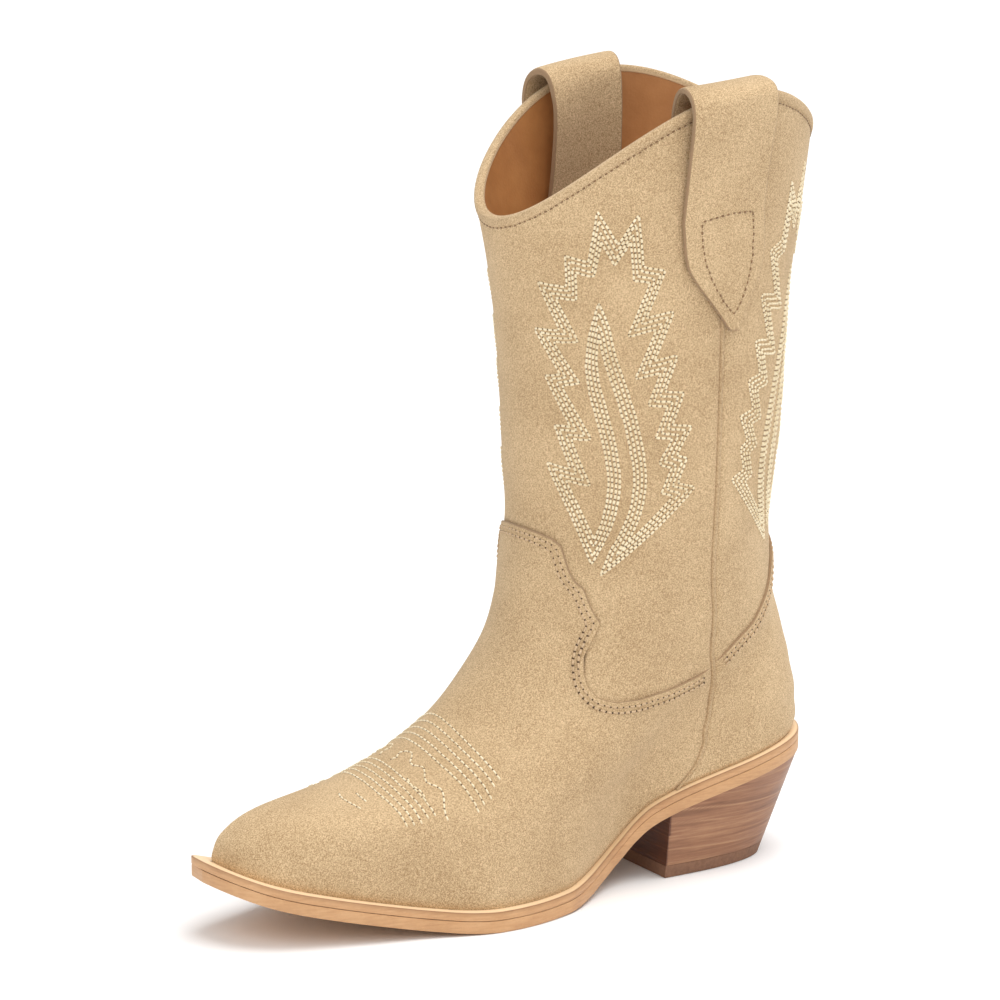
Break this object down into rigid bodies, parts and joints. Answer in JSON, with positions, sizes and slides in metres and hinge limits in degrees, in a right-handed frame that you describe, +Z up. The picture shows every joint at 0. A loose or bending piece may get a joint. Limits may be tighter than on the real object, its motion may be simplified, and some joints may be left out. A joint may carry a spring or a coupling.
{
  "type": "western boot",
  "caption": "Women's western boot for the left foot: pointed toe, embroidered suede shaft with a scalloped top, pull straps, welted sole and a stacked block heel.",
  "frame": {"origin": "on the floor, under the middle of the heel top lift's tread face", "axes": "+Z up, +X towards the toe, +Y towards the outer (left) side of this left boot"},
  "size_m": [0.2682, 0.1186, 0.3204],
  "materials": {
    "suede": "sand-coloured suede with a short, fine nap",
    "lining_leather": "smooth cognac lining leather with a soft sheen",
    "sole_leather": "waxed natural leather-board, satin edge",
    "stacked_heel": "stacked heel layers, brown with lighter streaks, satin",
    "top_lift_rubber": "matt dark brown rubber",
    "fibre_board": "matt fibre board",
    "cork": "granular cork mix",
    "steel": "plain steel"
  },
  "bodies": {
    "boot": {"vamp": "suede", "heel_foxing": "suede", "front_shaft_panel": "suede", "back_shaft_panel": "suede", "outer_side_piping": "suede", "inner_side_piping": "suede", "top_binding": "suede", "vamp_lining": "lining_leather", "heel_lining": "lining_leather", "front_shaft_lining": "lining_leather", "back_shaft_lining": "lining_leather", "toe_puff": "fibre_board", "heel_counter": "fibre_board", "outsole": "sole_leather", "welt": "sole_leather", "insole_board": "fibre_board", "sock_liner": "lining_leather", "cork_filler": "cork", "steel_shank": "steel", "heel_block": "stacked_heel", "heel_top_lift": "top_lift_rubber", "heel_screw": "steel", "heel_nail_back_outer": "steel", "heel_nail_back_inner": "steel", "heel_nail_front_outer": "steel", "heel_nail_front_inner": "steel"},
    "outer_strap": {"outer_pull_strap": "suede"},
    "inner_strap": {"inner_pull_strap": "suede"}
  },
  "joints": [
    {"name": "outer_strap_pull", "type": "slide", "parent": "boot", "child": "outer_strap", "axis": [0, 0.07, 0.9975], "range_m": [0, 0.005]},
    {"name": "inner_strap_pull", "type": "slide", "parent": "boot", "child": "inner_strap", "axis": [0, -0.07, 0.9975], "range_m": [0, 0.005]}
  ]
}
